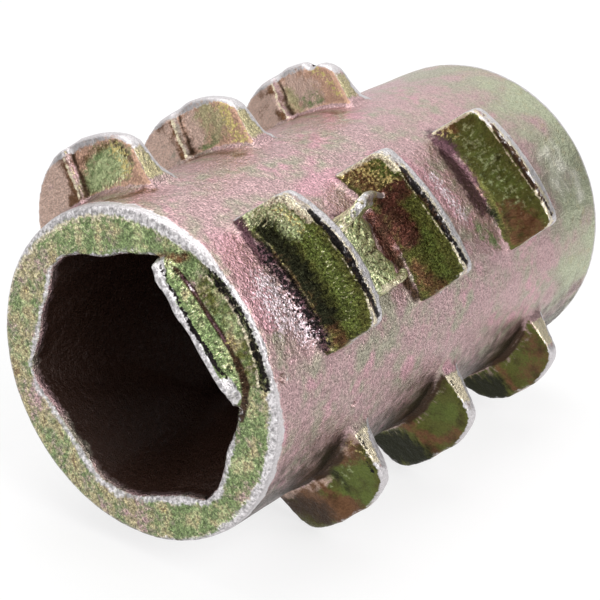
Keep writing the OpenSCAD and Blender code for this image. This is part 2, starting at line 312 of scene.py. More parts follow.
paintMarks = [
    # (mask, amount, width, path)
    # the barrel in front of the first front fin: rose patches, painted shade in a plum shadow and a dark
    # hollow, and a painted highlight on the swell
    ("rose", 0.85, 1.0, [(4.05, -1.4, 0.8), (4.2, -0.6, 0.7), (4.22, 0.3, 0.6)]),
    ("rose", 0.75, 0.8, [(3.81, -1.95, 4.6), (3.81, -1.97, 5.6)]),
    ("rose", 0.95, 0.8, [(3.9, -1.7, 7.6), (4.1, -1.2, 8.2), (4.28, -0.5, 8.55), (4.31, 0.1, 8.7)]),
    ("plumShade", 0.9, 0.26, [(4.03, -1.79, 1.56), (4.05, -1.46, 1.5), (4.12, -1.1, 1.42), (4.2, -0.7, 1.38)]),
    ("plumShade", 0.74, 0.38, [(4.18, -1.0, 1.5), (4.26, -0.46, 1.5), (4.3, 0.04, 1.56), (4.28, 0.52, 1.66),
        (4.22, 1.07, 1.76), (4.1, 1.6, 1.9)]),
    ("paintedShade", 0.58, 0.4, [(4.18, -1.0, 1.52), (4.26, -0.46, 1.52), (4.3, 0.04, 1.56), (4.28, 0.52, 1.64),
        (4.22, 1.07, 1.74), (4.1, 1.55, 1.86)]),
    ("paintedShade", 0.42, 0.3, [(4.24, 0.2, 1.2), (4.2, 0.7, 1.34), (4.12, 1.2, 1.52)]),
    ("paintedShade", 0.26, 0.85, [(4.24, 0.0, 1.3), (4.2, 0.7, 1.45), (4.12, 1.2, 1.6)]),
    ("paintedHighlight", 0.62, 0.6, [(4.25, -0.3, 1.0), (4.26, 0.3, 1.18), (4.2, 0.75, 1.32), (4.1, 1.2, 1.48)]),
    ("paintedHighlight", 0.54, 0.75, [(4.24, 0.0, 0.75), (4.16, 0.7, 0.9)]),
    # the same painted shade and painted highlights in front of the second and the last one
    ("brownShade", 0.9, 0.32, [(4.25, 0.75, 5.61), (4.13, 1.22, 5.63), (4.02, 1.66, 5.82)]),
    ("plumShade", 0.92, 0.62, [(3.96, -1.68, 10.1), (4.16, -1.13, 9.88), (4.3, -0.57, 9.78),
        (4.34, -0.02, 9.76), (4.32, 0.45, 9.78)]),
    ("olive", 1.15, 0.25, [(4.24, -1.22, 10.28), (4.36, -0.75, 10.24), (4.41, -0.33, 10.2),
        (4.41, 0.36, 10.22), (4.33, 0.89, 10.27), (4.15, 1.51, 10.36)]),
    ("brownShade", 0.5, 0.3, [(4.36, -0.57, 10.1), (4.4, -0.02, 10.1), (4.38, 0.45, 10.14),
        (4.33, 0.89, 10.27), (4.15, 1.51, 10.36)]),
    ("paintedHighlight", 0.55, 0.46, [(4.2, -0.8, 8.7), (4.29, -0.17, 8.72), (4.25, 0.5, 8.92)]),
    ("darkShade", 0.75, 0.3, [(4.27, 0.67, 10.09), (4.14, 1.25, 10.39), (3.93, 1.8, 10.73)]),
    ("leaf", 0.55, 0.55, [(4.18, 0.95, 9.3), (4.05, 1.45, 9.9)]),
    ("peach", 0.6, 0.07, [(3.91, -1.93, 10.05), (4.06, -1.58, 10.28), (4.34, -0.43, 9.98),
        (4.38, 0.41, 10.05), (4.25, 1.1, 10.3)]),
    # soft lights on the far end
    ("pale", 0.62, 1.1, [(4.35, 0.31, 13.94), (4.29, 0.78, 14.0)]),
    ("pale", 0.58, 0.6, [(4.27, 0.87, 14.52), (4.13, 1.4, 14.57)]),
    # below the lower ends of the front fins
    ("moss", 1.0, 0.9, [(4.06, 1.34, 4.48), (3.73, 2.09, 4.64), (3.5, 2.4, 3.6)]),
    ("moss", 0.95, 0.6, [(3.6, 2.3, 8.2), (3.3, 2.7, 7.6)]),
    # the cavity behind the gate in painted shade, and the pale edges of its torn bead and curl
    ("maroonShade", 0.95, 0.5, [(4.4, -0.5, 5.45), (4.41, -0.19, 5.5), (4.34, 0.19, 5.5), (4.33, 0.6, 5.5)]),
    ("brownShade", 0.6, 0.45, [(4.4, -0.4, 5.45), (4.41, -0.19, 5.5), (4.34, 0.19, 5.5), (4.33, 0.7, 5.5)]),
    ("maroonShade", 0.95, 0.32, [(4.6, -0.3, 5.2), (4.55, 0.1, 5.3), (4.5, 0.6, 5.3)]),
    ("glint", 0.7, 0.28, [(4.46, 0.98, 5.36), (4.62, 1.16, 4.95), (4.74, 1.2, 4.3)]),
    ("cream", 0.8, 0.22, [(4.5, 1.1, 5.2), (4.7, 1.2, 4.65), (4.8, 1.22, 3.92)]),
    ("cream", 0.75, 0.3, [(4.86, -0.52, 3.68), (5.12, -0.68, 3.84), (5.22, -0.82, 4.2),
        (5.16, -0.92, 4.62), (5.0, -0.95, 5.05), (4.84, -0.9, 5.45)]),
    # barrel at the feet of the upper fins
    ("rust", 0.62, 0.4, [(1.9, -3.8, 0.41), (2.11, -3.69, 0.86), (2.35, -3.58, 1.28)]),
    ("rust", 0.6, 0.45, [(0.6, -4.25, 5.0), (1.4, -4.05, 4.9), (2.31, -3.59, 4.7)]),
    ("rust", 0.55, 0.45, [(0.6, -4.25, 9.4), (1.4, -4.05, 9.3), (2.31, -3.59, 9.2)]),
    # the drive face behind the flash: brown film, dark lines of painted shade along its ridge, its lower
    # end and its lip, a few pink painted highlights on the ridge, and a cream line
    ("rust", 0.75, 0.24, [(2.64, -2.02, 0), (2.9, -1.95, -0.05), (3.16, -1.75, -0.03), (3.45, -1.6, 0)]),
    ("brownShade", 1.1, 0.115, [(3.05, -1.62, -0.07), (3.12, -1.36, -0.06), (3.18, -0.92, -0.01),
        (3.19, -0.4, -0.01), (3.22, 0.14, 0), (3.24, 0.6, 0), (3.24, 0.94, 0)]),
    ("paintedHighlight", 0.5, 0.07, [(3.15, -1.12, -0.02), (3.17, -0.9, -0.01)]),
    ("plumShade", 1.0, 0.06, [(3.12, -1.36, -0.06), (3.18, -0.92, -0.01), (3.19, -0.4, -0.01), (3.22, 0.14, 0),
        (3.24, 0.7, 0)]),
    ("brownShade", 1.1, 0.17, [(3.24, 0.94, 0), (3.2, 1.25, -0.02), (3.12, 1.55, -0.05), (2.8, 1.86, -0.03),
        (2.42, 2.14, 0.02)]),
    ("paintedShade", 1.15, 0.11, [(2.96, -1.75, -0.31), (2.95, -1.37, -0.32), (2.93, -0.92, -0.33),
        (2.9, -0.27, -0.36), (2.93, 0.35, -0.33), (2.92, 0.79, -0.33), (2.96, 1.02, -0.3),
        (3.03, 1.4, -0.28)]),
    ("cream", 0.85, 0.06, [(2.6, -2.02, -0.02), (2.9, -1.93, -0.05), (3.1, -1.8, -0.03)]),
    # painted shade in two small pits
    ("paintedShade", 1.2, 0.07, [(3.84, 1.81, 0.38)]),
    ("paintedShade", 1.1, 0.06, [(2.81, 3.2, 3.16)]),
    # a broken dark line of painted shade inside the front ends of the lower fins
    ("paintedShade", 0.66, 0.15, [(2.3, 3.95, 3.3), (2.25, 4.2, 3.32), (2.18, 4.5, 3.36), (2.08, 4.85, 3.38)]),
    ("paintedShade", 0.55, 0.12, [(2.3, 3.95, 7.48), (2.22, 4.4, 7.54), (2.12, 4.8, 7.56)]),
]

flankMarks = {
    # (row, fin): (mask, amount, width, path of (across, out) on the flank towards the drive end)
    # the near-black, dark brown and maroon marks on the flanks are painted shade
    ("front", 0): [
        ("darkShade", 0.8, 0.6, [(-1.35, 4.42), (-0.75, 4.55), (-0.2, 4.62), (0.4, 4.55), (1.1, 4.5)]),
        ("rust", 0.7, 0.3, [(-0.7, 4.45), (0.1, 4.5), (0.8, 4.45), (1.5, 4.4)]),
        ("lime", 0.85, 0.6, [(-1.8, 4.35), (-1.75, 4.7), (-1.5, 4.95), (-1.1, 5.0)]),
        ("fern", 1.1, 0.75, [(-1.75, 4.3), (-1.75, 4.7), (-1.5, 5.0), (-1.1, 5.05)]),
        ("glint", 0.44, 0.6, [(-1.8, 4.35), (-1.7, 4.7), (-1.45, 4.95)]),
        ("gold", 0.42, 0.28, [(-1.7, 4.95), (-1.3, 5.15), (-0.9, 5.2)]),
        ("cream", 0.95, 0.26, [(-1.85, 4.9), (-1.76, 5.29), (-1.41, 5.43), (-1.05, 5.5)]),
        ("fern", 0.85, 0.5, [(-0.9, 5.2), (-0.3, 5.2), (0.3, 5.15), (1.0, 5.1), (1.5, 4.85)]),
        ("glint", 0.2, 0.45, [(-0.9, 5.2), (-0.3, 5.25), (0.3, 5.2), (1.0, 5.15), (1.5, 4.9)]),
        ("rust", 0.72, 0.38, [(1.45, 4.45), (1.85, 4.35)]),
    ],
    ("front", 1): [
        ("rust", 0.72, 0.6, [(-1.9, 4.3), (-1.6, 4.5), (-1.1, 4.55)]),
        ("gold", 0.5, 0.7, [(-1.8, 4.4), (-1.6, 4.8), (-1.3, 4.9)]),
        ("fern", 0.85, 0.5, [(-1.79, 4.95), (-1.49, 5.14), (-1.16, 5.21)]),
        ("cream", 0.95, 0.15, [(-1.88, 3.95), (-1.84, 4.5), (-1.76, 5.3), (-1.2, 5.4)]),
        ("maroonShade", 0.9, 0.54, [(-0.75, 5.15), (-0.65, 4.7), (-0.28, 4.7), (0.06, 4.75), (0.35, 4.7)]),
        ("brownShade", 0.45, 0.62, [(-0.75, 5.25), (-0.65, 4.7), (-0.28, 4.7), (0.06, 4.75), (0.35, 4.7)]),
        ("fern", 0.7, 0.45, [(0.52, 5.05), (1.06, 4.95), (1.6, 4.86)]),
        ("rust", 0.7, 0.42, [(1.1, 4.4), (1.8, 4.35), (1.75, 4.6)]),
        ("gold", 0.48, 0.5, [(-1.5, 4.7), (-1.1, 5.1)]),
    ],
    ("front", 2): [
        ("cream", 0.8, 0.11, [(-1.86, 4.06), (-1.82, 4.7), (-1.78, 5.25)]),
        ("gold", 0.36, 0.4, [(-1.85, 4.2), (-1.6, 4.5)]),
        ("rust", 0.7, 0.3, [(-1.8, 4.2), (-1.65, 4.6)]),
        ("fern", 0.75, 0.6, [(-1.2, 5.0), (-0.3, 5.0), (0.5, 5.0)]),
        ("lime", 0.36, 0.8, [(-1.3, 4.8), (-0.3, 4.9), (0.8, 4.9)]),
        ("rust", 0.7, 0.75, [(1.0, 4.55), (1.4, 4.8), (1.74, 4.9), (1.7, 4.4)]),
    ],
    ("lower", 0): [
        ("fern", 1.25, 0.8, [(-1.2, 4.45), (-1.6, 4.75), (-1.2, 5.1)]),
        ("lime", 0.28, 0.4, [(-1.6, 4.45), (-0.6, 4.7)]),
        ("darkShade", 0.55, 0.24, [(-1.0, 4.4), (-0.95, 5.0)]),
        ("gold", 0.3, 0.35, [(-2.05, 3.95), (-2.15, 4.3)]),
        ("rust", 0.65, 0.45, [(-2.1, 3.9), (-2.0, 4.3), (-1.5, 4.2)]),
        ("rust", 0.75, 0.35, [(-0.2, 4.4), (-0.1, 4.6)]),
        ("rust", 1.1, 0.75, [(0.3, 4.75), (0.0, 5.1), (-0.6, 5.5)]),
        ("brownShade", 0.8, 0.95, [(1.4, 4.6), (0.8, 4.9), (0.3, 5.2)]),
    ],
    ("lower", 1): [
        ("fern", 0.85, 0.6, [(-1.3, 4.5), (-1.7, 4.75)]),
        ("rust", 0.75, 0.26, [(0.0, 4.25), (-0.35, 4.7), (-0.75, 5.3)]),
        ("rust", 0.65, 0.4, [(-0.9, 5.35), (-1.4, 5.3)]),
        ("darkShade", 1.0, 1.0, [(1.1, 4.8), (0.4, 5.0), (0.2, 5.4)]),
    ],
    ("lower", 2): [
        ("fern", 0.35, 0.6, [(-1.3, 4.6), (-1.7, 4.75)]),
        ("rust", 0.55, 0.7, [(-1.9, 4.3), (-1.8, 4.9), (-1.1, 5.2)]),
        ("darkShade", 0.9, 1.0, [(0.9, 4.8), (0.2, 5.1)]),
    ],
    ("upper", 0): [
        ("lime", 0.62, 0.75, [(0.9, 4.55), (1.3, 4.75), (1.7, 4.55)]),
        ("leaf", 0.75, 0.9, [(0.9, 4.6), (1.3, 4.85), (1.7, 4.6)]),
        ("rust", 0.5, 0.24, [(0.65, 5.15), (1.1, 5.22), (1.6, 5.15)]),
        ("brownShade", 0.75, 0.16, [(1.85, 5.05), (2.0, 4.75), (2.1, 4.45)]),
        ("gold", 0.55, 0.3, [(1.75, 5.0), (1.95, 4.65), (1.9, 4.3)]),
        ("fern", 0.4, 0.5, [(1.0, 4.45), (1.5, 4.5)]),
        ("glint", 0.42, 0.3, [(1.0, 4.2), (1.6, 4.25), (1.9, 4.4), (1.9, 4.8)]),
    ],
    ("upper", 1): [
        ("leaf", 0.5, 0.45, [(1.0, 4.35), (1.4, 4.4)]),
        ("straw", 0.75, 0.7, [(1.4, 5.1), (1.6, 4.6)]),
        ("blush", 0.9, 0.55, [(0.9, 5.2), (0.9, 4.7)]),
        ("gold", 0.58, 0.42, [(1.95, 5.05), (1.95, 4.6), (2.0, 4.2), (2.15, 3.95)]),
    ],
    ("upper", 2): [
        ("blush", 0.85, 0.8, [(0.9, 5.1), (1.3, 4.6)]),
        ("straw", 0.7, 0.4, [(0.75, 5.0), (0.75, 4.4)]),
        ("leaf", 0.5, 0.5, [(1.0, 4.5), (1.5, 4.45)]),
        ("gold", 0.5, 0.24, [(1.7, 5.2), (2.0, 4.7), (2.1, 4.2)]),
    ],
}


def finAxes(points, row):
    # for each point the number of the nearest fin of a row, how far out it is, across and past its middle
    toward, places, middle = fins[row]
    turned = math.radians(toward)
    u, v, s = points.T
    out = u * math.cos(turned) + v * math.sin(turned)
    across = v * math.cos(turned) - u * math.sin(turned)
    past = s[:, None] - np.array(places) - crest["helix"] * (across - middle)[:, None]
    number = np.abs(past).argmin(1)
    return number, out, across, past[np.arange(len(s)), number]


def hexRoom(u, v):
    # how far a point lies outside the hexagon's edge
    turned = np.radians(body["hexTurn"] + 60 * np.arange(6))
    flats = (u[:, None] * np.cos(turned) + v[:, None] * np.sin(turned)).max(1) - body["hexFlat"]
    return np.maximum(flats, np.hypot(u, v) - body["hexCorner"])


def fanWaves(points, normals):
    # the furrows that fan out over the broken gate, and where they lie
    rho, s = np.hypot(points[:, 0], points[:, 1]), points[:, 2]
    aside, along = (points - np.array(gateFan["middle"])).T[1:]
    turned, away = np.arctan2(aside, along), np.hypot(aside, along)
    share = (ramp(away, 0.1, 0.5) * ramp(gateFan["reach"] - away, 0, 0.2)
             * ramp(rho - gateFan["radius"], 0, 0.1) * ramp(normals[:, 0], 0.5, 0.8)
             * ramp(gateFan["far"] - s, 0, 0.1) * ramp(s - gateFan["near"], 0, 0.3))
    return np.sin(turned * gateFan["furrows"] + 1.5 * waves(points, 0.8, 5)), share


def bow(across, out):
    # share of the first front fin's bow, which is full at the middle of its crest
    return np.clip(1 - (across / crest["bowReach"]) ** 2, 0, 1) * ramp(out, 4.7, 5.5)


def tube(path, radii, sides=14):
    # a closed round bar along a path, for what is fused into the body
    work = bmesh.new()
    path = [Vector(spot) for spot in path]
    rings = []
    for index, (spot, radius) in enumerate(zip(path, radii)):
        tangent = (path[min(index + 1, len(path) - 1)] - path[max(index - 1, 0)]).normalized()
        side = tangent.cross(Vector((1, 0, 0))).normalized()
        lift = side.cross(tangent)
        rings.append([work.verts.new(spot + radius * (side * math.cos(a) + lift * math.sin(a)))
                      for a in (2 * math.pi * step / sides for step in range(sides))])
    for ring, following in zip(rings[:-1], rings[1:]):
        for step in range(sides):
            after = (step + 1) % sides
            work.faces.new((ring[step], ring[after], following[after], following[step]))
    work.faces.new(reversed(rings[0]))
    work.faces.new(rings[-1])
    bmesh.ops.recalc_face_normals(work, faces=work.faces)
    return work


def fuse(made, works):
    # joins closed shells to the body and remeshes the lot as one skin
    whole = bmesh.new()
    whole.from_mesh(made.data)
    for work in works:
        extra = bpy.data.meshes.new("extra")
        work.to_mesh(extra)
        work.free()
        whole.from_mesh(extra)
        bpy.data.meshes.remove(extra)
    whole.to_mesh(made.data)
    whole.free()
    voxelRemesh(made)


melt = {
    # where the solid's cut lines are softened, and in how many passes over the mesh
    "gatePasses": 14,
    "gateRadius": 4.45,
    "gateNear": 3.25,
    "gateFar": 5.45,
    "gateMiddle": 0.2,
    "gateHalf": 1.75,
    "stepPasses": 45,
    "stepRadius": 4.4,
    "stepHalf": 0.40,
    "stepFrom": 3.5,
    "lipPasses": 2,
}


def meltMarks(mesh):
    # softens the cut lines of the solid where the real part is torn
    points, normals, edges = readMesh(mesh)
    u, v, s = points.T
    rho = np.hypot(u, v)
    gate = (ramp(melt["gateHalf"] - np.abs(v - melt["gateMiddle"]), 0, 0.2)
            * ramp(rho - melt["gateRadius"], 0, 0.1)
            * ramp(s - melt["gateNear"], 0, 0.15) * ramp(melt["gateFar"] - s, 0, 0.1))
    lip = ramp(-s, 0.02, 0.08)
    atParting = (ramp(melt["stepHalf"] - np.abs(u - body["partingLine"]), 0, 0.2)
                 * ramp(rho - melt["stepRadius"], 0, 0.1))
    softStep = atParting * np.maximum(ramp(v - melt["stepFrom"], 0, 0.3),
                                      ramp(-v - melt["stepFrom"], 0, 0.3) * ramp(s, 3.6, 3.8))
    points = relaxed(points, edges, melt["gatePasses"], 0.5 * gate)
    points = relaxed(points, edges, melt["stepPasses"], 0.5 * softStep)
    points = relaxed(points, edges, melt["lipPasses"], 0.5 * lip)
    u, v, s = points.T
    # the lip thins out at its lower end, along the line of sight so that its edge stays in view
    ends = ramp(v - flash["lowerEnd"] + flash["taper"], 0, flash["taper"])
    back = np.maximum(-s, 0) / -flash["sight"][2] * ends * flash["thinned"]
    points = points - back[:, None] * np.array(flash["sight"])
    # and its edge swells unevenly over the hexagon
    swell = flash["swell"] + flash["swellWaver"] * waves(np.column_stack([v * 0, v, v * 0]), 1.1, 9)
    onEdge = ramp(-s, 0.02, 0.12) * ramp(2.95 - u, 0, 0.15) * ramp(1.8 - np.abs(v), 0, 0.3)
    points[:, 0] -= swell * onEdge
    writePoints(mesh, points)


def sculptBody(mesh):
    points, normals, edges = readMesh(mesh)
    points = relaxed(points, edges, body["roundingPasses"])
    u, v, s = points.T
    rho = np.hypot(u, v)

    # the bore opens to the thread's root, because the thread is a piece of its own
    inBore = (s > body["socketDepth"] - 0.12) & (rho < body["threadRoot"] + 0.1)
    room = body["threadRoot"] - body["coreRadius"]
    wider = rho + room * np.clip((body["hexFlat"] - rho) / (body["hexFlat"] - body["coreRadius"]), 0, 1)
    points[:, :2] *= np.where(inBore, wider / np.maximum(rho, 0.1), 1)[:, None]

    # the hexagon's mouth wavers
    mouth = ramp(1.6 - s, 0, 1.4) * ramp(3.6 - rho, 0, 0.3) * ramp(s, -0.2, 0.0)
    sway = waves(points * (1, 1, 0.35), 1.3, 3) * body["rimWaver"] * mouth
    points[:, :2] -= points[:, :2] / np.maximum(rho, 0.1)[:, None] * sway[:, None]

    # the crest of the first front fin is bowed
    number, out, across, past = finAxes(points, "front")
    share = bow(across, out) * (number == 0) * ramp(1.0 - np.abs(past), 0, 0.3)
    points[:, 0] += crest["bowOut"] * share
    points[:, 2] += crest["bowAlong"] * share

    furrow, onFan = fanWaves(points, normals)
    points += normals * (furrow * gateFan["depth"] * onFan)[:, None]

    # radial wrinkles on the front and back fins' flanks
    onFin = ramp(rho, 4.5, 4.7) * ramp(np.abs(normals[:, 2]), 0.6, 0.85) * ramp(np.abs(u) / rho, 0.7, 0.8)
    stretched = np.column_stack([rho * 0.35, np.arctan2(v, u) * 5.0, s * 0.35])
    points += normals * (waves(stretched, 0.24, 11) * body["flankWrinkle"] * onFin)[:, None]

    for width, lift, path in sculptMarks:
        points += normals * (lift * np.clip(nearPath(points, path, width), 0, 1))[:, None]
    writePoints(mesh, points)


def tent(values, middle, halfWidth):
    # 1 in the middle, 0 at the half width and below 0 outside
    return 1 - np.abs(values - middle) / halfWidth


def line(values, middle, halfWidth):
    # the same, and 0 outside
    return np.clip(tent(values, middle, halfWidth), 0, 1)


rimEdge = {
    # round the axis in degrees: where the drive face's worn rim starts, and how deep it is worn
    "turns": [-180, -150, -112, -95, -70, -45, -30, -20, -12, 24, 31, 42, 70, 92, 120, 180],
    "starts": [4.19, 4.18, 4.12, 4.02, 3.99, 3.95, 3.95, 4, 4.09, 4.09, 4.02, 3.98, 3.99, 4.08, 4.16, 4.19],
    "depths": [0.1, 0.14, 0.24, 0.26, 0.26, 0.26, 0.24, 0.2, 0.09, 0.09, 0.2, 0.24, 0.22, 0.18, 0.12, 0.1],
    # beside the flash it has a black band of painted dark reflection inside, and a thin cream line inside
    # that
    "besideFrom": -20,
    "besideTo": 30,
    "bandRadius": 3.96,
    "bandHalf": 0.22,
    "bandDark": 0.72,
    "creamRadius": 3.73,
    "creamHalf": 0.09,
}

hexEdge = {
    # the pale line around the hexagon: broad at the lower left, thin above, none behind the flash
    "turns": [-180, -150, -112, -95, -75, -50, -35, -30, 45, 55, 75, 100, 130, 180],
    "widths": [0.19, 0.18, 0.13, 0.09, 0.07, 0.07, 0.07, 0.02, 0.02, 0.15, 0.18, 0.18, 0.20, 0.19],
    "gapFrom": -40,
    "gapTo": 50,
}

crestEdge = {
    # along the near edges of the front fins' crests, by fin: a dark line of painted dark reflection, brown
    # in it, cream beside it
    "shadow": (0.70, 0.58, 0.0),
    "brown": (0.75, 0.85, 0.9),
    "middle": 0.03,
    "half": 0.13,
    "reach": 1.55,
    "brightAt": 0.17,
    "brightHalf": 0.06,
    "wornFrom": 5.43,
    "footHeight": 0.20,
    "footHalf": 0.07,
}


def readCrests(points, rho, wall, front, fine, tiny):
    # for the front fins: the number of the fin, the way from its crest's near edge, the dark and brown
    # lines of painted dark reflection and the bright line along that edge, and the line at the first fin's
    # foot
    number, out, across, past = finAxes(points, "front")
    bowed = bow(across, out) * (number == 0)
    past = past - crest["bowAlong"] * bowed
    onFront = front * (rho > 5.2) * (np.abs(across) < 1.75)
    crestTop = crest["radius"] - 0.05 + crest["bowOut"] * bowed
    fromEdge = past + crest["halfWidth"] - 0.9 * np.maximum(crestTop - out, 0)
    band = (np.clip(2.2 * tent(fromEdge + 0.012 * fine, crestEdge["middle"], crestEdge["half"]), -1, 1.1)
            * onFront * ramp(crestEdge["reach"] - np.abs(across - 0.25), 0, 0.2))
    shadow = band * (np.array(crestEdge["shadow"])[number] + 0.10 * fine)
    brown = band * np.array(crestEdge["brown"])[number]
    bright = np.maximum(tent(fromEdge + 0.01 * tiny, crestEdge["brightAt"], crestEdge["brightHalf"]),
                        0.8 * tent(fromEdge, -0.10, 0.05)) * onFront
    footLine = (line(rho - wall + 0.01 * fine, crestEdge["footHeight"], crestEdge["footHalf"])
                * front * (number == 0) * (past < -0.1) * ramp(1.95 - np.abs(across), 0, 0.1))
    return number, fromEdge, shadow, brown, bright, footLine


def layMarks(masks, points, nearFlank):
    # the single marks, over what each zone has
    for mask, amount, width, path in paintMarks:
        masks[mask] = np.maximum(masks[mask], amount * nearPath(points, path, width))
    for (row, fin), marks in flankMarks.items():
        number, out, across, past = finAxes(points, row)
        spots = np.column_stack([across, out, np.zeros(len(out))])
        onFlank = nearFlank * (number == fin) * (out > 3.6)
        for mask, amount, width, path in marks:
            share = nearPath(spots, [(*spot, 0) for spot in path], width)
            masks[mask] = np.maximum(masks[mask], amount * share * onFlank)


def writeMasks(mesh, masks):
    bare = 1 - np.clip(masks.pop("bare"), 0, 1)
    for name in ("rust", "brownShade", "plumShade", "darkShade", "paintedShade"):
        masks[name] = np.minimum(masks[name], bare)
    for name, values in masks.items():
        layer = mesh.attributes.new(name, "FLOAT", "POINT")
        layer.data.foreach_set("value", np.clip(values, -1, 1.5).astype(np.float32))


def paintBody(mesh):
    # a mask is how much of a film a place has: 1 covers it, 0 leaves it bare
    points, normals, edges = readMesh(mesh)
    u, v, s = points.T
    rho = np.hypot(u, v)
    angle = np.degrees(np.arctan2(v, u))
    axle = np.maximum(rho, 0.1)
    outward = (normals[:, 0] * u + normals[:, 1] * v) / axle
    along = normals[:, 2]
    wall = body["driveRadius"] + (body["farRadius"] - body["driveRadius"]) * s / body["length"]
    split = body["partingLine"]
    zero = np.zeros(len(s))

    bulge = relaxed(((points - relaxed(points, edges, 8)) * normals).sum(1), edges, 2)
    hollow = relaxed(((relaxed(points, edges, 60) - points) * normals).sum(1), edges, 6)
    patch = waves(points, 1.5, 21)
    fine = waves(points, 0.6, 22)
    tiny = waves(points, 0.25, 23)
    waver = 0.02 * fine + 0.012 * tiny

    # the rows of fins, and the faces of a fin
    front, lower, upper = (ramp(share / axle, 0.6, 0.75) for share in (u, v, -v))
    back = 1 - np.clip(front + lower + upper, 0, 1)
    onFin = ramp(rho - wall, 0.12, 0.30)
    nearFlank = ramp(rho - wall, 0.05, 0.16) * ramp(-along, 0.22, 0.50) * ramp(s, 0.3, 0.5)
    farFlank = onFin * ramp(along, 0.45, 0.75)
    onCrest = ramp(rho, 5.1, 5.25) * ramp(outward, 0.35, 0.7)
    offFlanks = onFin * (1 - nearFlank) * (1 - farFlank) * (1 - onCrest)
    finAcross = np.where(np.abs(u) > np.abs(v), np.abs(v), np.abs(u - split))
    finEnd = offFlanks * ramp(finAcross, 1.15, 1.40)
    # the fin ends that face the front, towards the key lamp: cream, and partly lightened as painted light
    endFront = finEnd * ramp(normals[:, 0], 0.3, 0.6)
    stepFace = offFlanks * ramp(0.30 - np.abs(u - 0.5), 0, 0.1)
    leftHalf = nearFlank * upper * ramp(split - 0.02 - u, 0, 0.06)
    rightHalf = nearFlank * upper * ramp(u - split - 0.02, 0, 0.08)

    # the barrel, its ends and the scar of the gate
    barrel = (1 - onFin) * ramp(outward, 0.3, 0.6)
    underside = barrel * ramp(angle, 30, 88) * ramp(170 - angle, 0, 30)
    farEnd = ramp(s, 11.8, 14.8) * (1 - onFin)
    inside = (np.minimum(ramp(3.75 - rho, 0, 0.1), np.clip((s - 0.06) / 0.30, 0, 1))
              * ramp(body["length"] - 0.05 - s, 0, 0.1))
    seam = ramp(0.30 - np.abs(u - split), 0, 0.1)
    gate = (ramp(rho, 4.48, 4.6) * front * ramp(s, 3.35, 3.5) * ramp(5.35 - s, 0, 0.15) * (1 - onCrest))
    fan, onFan = fanWaves(points, normals)

    # the flash on the hexagon's lip, white along its edge
    lipTop = ramp(-s, 0.27, 0.36) * ramp(-along, 0.45, 0.75)
    onLip = ramp(-s, 0.04, 0.10)
    lipSide = onLip * (1 - lipTop) * ramp(normals[:, 0], 0.2, 0.5)
    whiteU = np.interp(v, *np.array(flash["whiteEdge"]).T) + 0.03 * waves(points, 0.5, 24)
    lipWhite = np.maximum(lipTop, onLip * np.clip((whiteU - u) / 0.05 + 0.5, 0, 1))

    # the drive face and its rim
    driveFace = (ramp(-along, 0.5, 0.8) * ramp(0.6 - s, 0, 0.1) * ramp(rho, 2.6, 2.7)
                 * (1 - ramp(s, 0.10, 0.25)))
    faceLeft = ramp(-0.3 - u - 0.2 * v, 0, 1.6)
    offBore = ramp(rho, 3.7, 3.8)
    rimStart = np.interp(angle, rimEdge["turns"], rimEdge["starts"])
    rimDepth = np.interp(angle, rimEdge["turns"], rimEdge["depths"])
    onRim = ramp(rimDepth + 0.02 * fine - s, -0.04, 0.04) * offBore
    rim = (rho - rimStart + waver) / 0.10
    beside = ramp(angle - rimEdge["besideFrom"], 0, 6) * ramp(rimEdge["besideTo"] - angle, 0, 4)
    onBand = beside * ramp(0.35 - s, 0, 0.1) * offBore
    bandTent = 2.2 * tent(rho + 0.015 * fine, rimEdge["bandRadius"], rimEdge["bandHalf"])
    shadowLine = np.clip(bandTent, -1, rimEdge["bandDark"] + 0.12 * fine) * onBand
    facet = driveFace * beside * ramp(rho, 3.1, 3.4) * ramp(u, 2.9, 3.2)
    hexWidth = np.interp(angle, hexEdge["turns"], hexEdge["widths"])
    hexLine = np.clip(1.5 - (hexRoom(u, v) + waver) / hexWidth, -1, 1) * driveFace
    hexLine = hexLine * (1 - ramp(angle - hexEdge["gapFrom"], 0, 6) * ramp(hexEdge["gapTo"] - angle, 0, 4))

    number, fromEdge, crestShadow, crestBrown, crestBright, footLine = readCrests(
        points, rho, wall, front, fine, tiny)
    rough = nearFlank * front * np.array([1.0, 0.8, 0.35])[number]
    lastFlank = nearFlank * front * (number == 2)

    # painted shade: the barrel darkens towards the feet of the lower fins; their fillets are pale
    number, out, across, past = finAxes(points, "lower")
    shelter = ramp(past, -1.5, -0.3) * ramp(0.3 - past, 0, 0.2) * ramp(2.35 - u, 0, 0.9) * ramp(v, 2.6, 3.6)
    shelter = shelter * (1 - ramp(rho - wall, 0.03, 0.10))
    foot = nearFlank * lower * ramp(0.50 - (rho - wall), 0, 0.2) * np.array([1.0, 0.5, 0.5])[number]
    unevenSplit = split - 0.06 + 0.02 * fine
    splitHalf = 0.08 + 0.18 * ramp(5.2 - rho, 0, 1.0)

